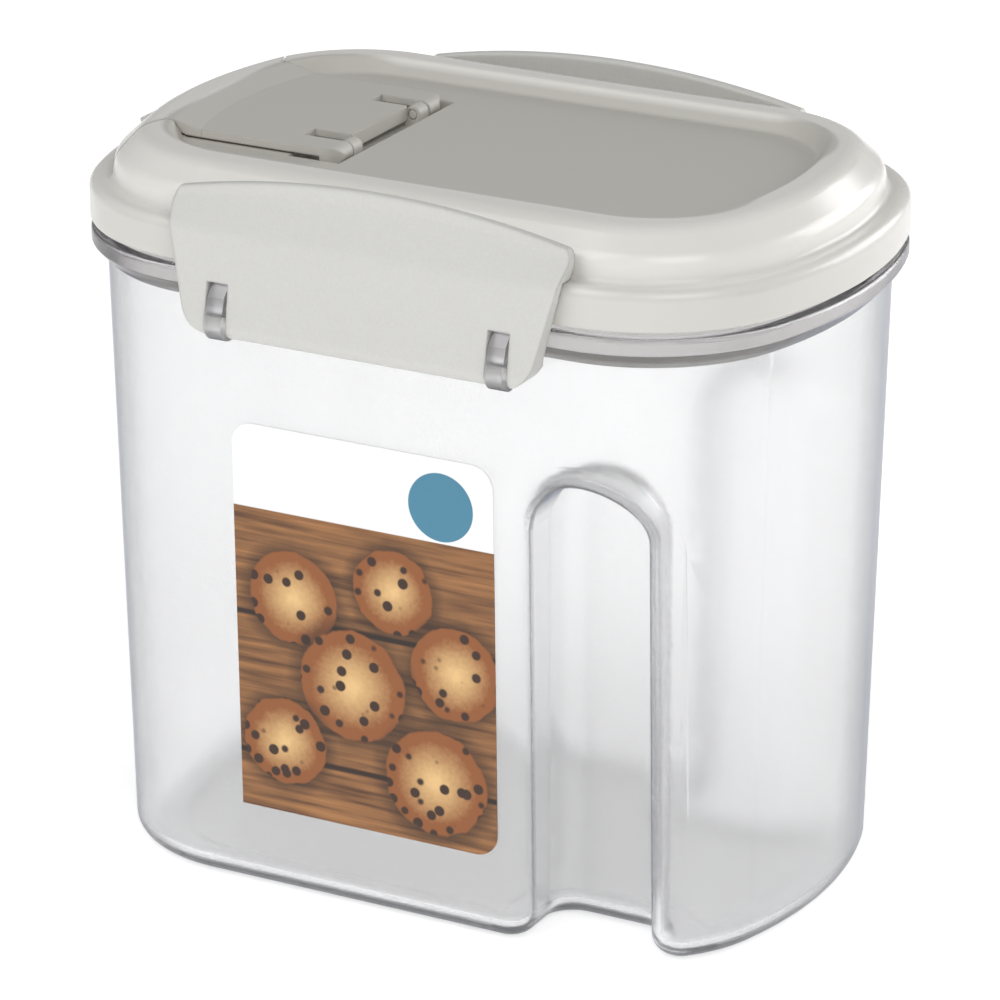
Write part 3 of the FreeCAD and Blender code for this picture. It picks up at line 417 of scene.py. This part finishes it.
def printed_label_film():
    material, tree, shader, _, place = new_material("printed_label_film")
    mm = add(tree, "ShaderNodeVectorMath", {0: place, "Scale": 1 / MM}, operation="SCALE").outputs[0]
    parts = add(tree, "ShaderNodeSeparateXYZ", {0: mm})
    across, up = parts.outputs["X"], parts.outputs["Z"]
    picture = biscuits(tree, mm, across, up, planks(tree, mm, up))
    above = add(tree, "ShaderNodeMapRange", {
        "Value": up, "From Min": LABEL_SPLIT - PRINT_EDGE, "From Max": LABEL_SPLIT + PRINT_EDGE,
    })
    colour = add(tree, "ShaderNodeMix", {
        "Factor": above.outputs["Result"], COLOUR_A: picture, COLOUR_B: linear("#FFFFFF"),
    }, data_type="RGBA").outputs[MIXED]
    away = add(tree, "ShaderNodeVectorMath", {0: mm, 1: (DISC_X, 0, DISC_Z)}, operation="SUBTRACT")
    away = add(tree, "ShaderNodeVectorMath", {0: away.outputs[0], 1: (1, 0, 1)}, operation="MULTIPLY")
    away = add(tree, "ShaderNodeVectorMath", {0: away.outputs[0]}, operation="LENGTH").outputs["Value"]
    disc = add(tree, "ShaderNodeMapRange", {
        "Value": away, "From Min": DISC_RADIUS + PRINT_EDGE, "From Max": DISC_RADIUS - PRINT_EDGE,
    })
    colour = add(tree, "ShaderNodeMix", {
        "Factor": disc.outputs["Result"], COLOUR_A: colour, COLOUR_B: linear("#4C8AA6"),
    }, data_type="RGBA").outputs[MIXED]
    facing = add(tree, "ShaderNodeTexCoord").outputs["Normal"]
    facing = add(tree, "ShaderNodeSeparateXYZ", {0: facing}).outputs["Y"]
    glued = add(tree, "ShaderNodeMapRange", {"Value": facing, "From Min": GLUED_FROM, "From Max": GLUED_FULL})
    colour = add(tree, "ShaderNodeMix", {
        "Factor": glued.outputs["Result"], COLOUR_A: colour, COLOUR_B: linear("#F4F3F0"),
    }, data_type="RGBA").outputs[MIXED]
    fill(shader, {"Base Color": colour, "Roughness": FILM_ROUGH, "IOR": FILM_IOR})
    return material


dress(printed_label_film(), "label")


# %% [markdown]
# ## Floor
# The box stands on a pale table. A large square would do, but a disc has no corner to show in a low view. It
# glows a little, so that it stays white in the picture without stronger lamps, which would bleach the lid.

# %% Floor
FLOOR_RADIUS = 6.0
FLOOR_HUB = 0.02
FLOOR_RINGS, FLOOR_SPOKES = 4, 64
FLOOR_DROP = 0.2 * MM
FLOOR_ROUGH = 0.9
FLOOR_GLOW = 0.57


def pale_floor():
    material, _, shader, _, _ = new_material("pale_floor")
    fill(shader, {
        "Base Color": linear("#F4F4F4"), "Roughness": FLOOR_ROUGH,
        "Emission Color": linear("#FFFFFF"), "Emission Strength": FLOOR_GLOW,
    })
    return material


def floor_disc(radius, rings, spokes):
    """A disc: each point is a radius and an angle on a grid, and one face closes the hub."""
    r, a = np.meshgrid(
        np.linspace(FLOOR_HUB, radius, rings),
        np.linspace(0, 2 * math.pi, spokes, endpoint=False),
        indexing="ij",
    )
    points = np.stack([r * np.cos(a), r * np.sin(a), np.zeros_like(r)], axis=-1).reshape(-1, 3)
    i, j = np.meshgrid(np.arange(rings - 1), np.arange(spokes), indexing="ij")
    here = i * spokes + j
    after = i * spokes + (j + 1) % spokes
    quads = np.stack([here, here + spokes, after + spokes, after], axis=-1).reshape(-1, 4)
    mesh = bpy.data.meshes.new("floor")
    mesh.from_pydata(points.tolist(), [], quads.tolist() + [list(range(spokes))])
    return mesh


floor = bpy.data.objects.new("floor", floor_disc(FLOOR_RADIUS, FLOOR_RINGS, FLOOR_SPOKES))
floor.location.z = -FLOOR_DROP
bpy.context.scene.collection.objects.link(floor)
floor.data.materials.append(pale_floor())
print("floor faces:", len(floor.data.polygons))


# %% [markdown]
# ## World
# A photographer's studio is bright at the walls and dimmer overhead. A picture of a room could light the scene,
# but a ramp over the height of the sky needs no file. It makes the flat top read darker than the upright faces.

# %% World
SKY_STRENGTH = 0.42
HORIZON = (1, 1, 1, 1)
ZENITH = (0.2, 0.2, 0.21, 1)
ZENITH_FROM = 0.8

world = bpy.data.worlds.new("studio")
bpy.context.scene.world = world
world.use_nodes = True
sky_tree = world.node_tree
sky_tree.nodes.clear()
rise = add(sky_tree, "ShaderNodeSeparateXYZ", {0: add(sky_tree, "ShaderNodeTexCoord").outputs["Generated"]})
ramp = add(sky_tree, "ShaderNodeValToRGB", {"Fac": rise.outputs["Z"]})
horizon, zenith = ramp.color_ramp.elements
horizon.position, horizon.color = 0.0, HORIZON
zenith.position, zenith.color = ZENITH_FROM, ZENITH
sky = add(sky_tree, "ShaderNodeBackground", {"Color": ramp.outputs["Color"], "Strength": SKY_STRENGTH})
add(sky_tree, "ShaderNodeOutputWorld", {"Surface": sky.outputs[0]})
print("world strength:", SKY_STRENGTH)


# %% [markdown]
# ## Lights
# Soft boxes light the front from both sides, and one behind brightens the tub's back wall, which shows through
# the clear plastic. Point lamps would leave hard spots on the gloss. Broad area lamps give the soft highlights
# that the dome shows.

# %% Lights
MIDDLE = Vector((0, 0, 0.06))
# Each lamp's name, with its place and its sides in metres, and its power in watts.
LAMPS = {
    "front_left": ((-0.4, -0.65, 0.95), (0.8, 0.8), 5.0),
    "front_right": ((0.65, -0.55, 0.9), (0.7, 0.7), 4.4),
    "back_right": ((0.6, 1.0, 0.4), (0.8, 0.6), 6.5),
}

for name, (place, sides, power) in LAMPS.items():
    lamp = bpy.data.lights.new(name, "AREA")
    lamp.shape = "RECTANGLE"
    lamp.size, lamp.size_y = sides
    lamp.energy = power
    holder = bpy.data.objects.new(name, lamp)
    holder.location = place
    holder.rotation_mode = "QUATERNION"
    holder.rotation_quaternion = (MIDDLE - Vector(place)).to_track_quat("-Z", "Y")
    bpy.context.scene.collection.objects.link(holder)
print("lamps:", ", ".join(LAMPS))


# %% [markdown]
# ## Camera
# The photograph was taken with a long lens, a little above the box and to the right of its front. The camera could
# be placed by eye, but the distance and the focal length were fitted to edges measured in the photograph, so that
# the outlines can be compared.

# %% Camera
AZIMUTH = math.radians(28.11)
ELEVATION = math.radians(20.85)
DISTANCE = 795.92 * MM
TARGET = Vector((0.18, 0.0, 53.26)) * MM
# The focal length as a share of the picture's width, and the width of the sensor in millimetres.
FOCAL_SHARE = 5.38437
SENSOR = 36.0
NEAREST = 0.01

back = Vector((
    math.sin(AZIMUTH) * math.cos(ELEVATION),
    -math.cos(AZIMUTH) * math.cos(ELEVATION),
    math.sin(ELEVATION),
))
camera_data = bpy.data.cameras.new("photo_view")
camera_data.sensor_width = SENSOR
camera_data.lens = SENSOR * FOCAL_SHARE
camera_data.clip_start = NEAREST
camera = bpy.data.objects.new("photo_view", camera_data)
camera.location = TARGET + back * DISTANCE
camera.rotation_mode = "QUATERNION"
camera.rotation_quaternion = (-back).to_track_quat("-Z", "Y")
bpy.context.scene.collection.objects.link(camera)
bpy.context.scene.camera = camera
bpy.context.scene.view_settings.view_transform = "Standard"
print("camera, mm:", [round(value / MM, 1) for value in camera.location])
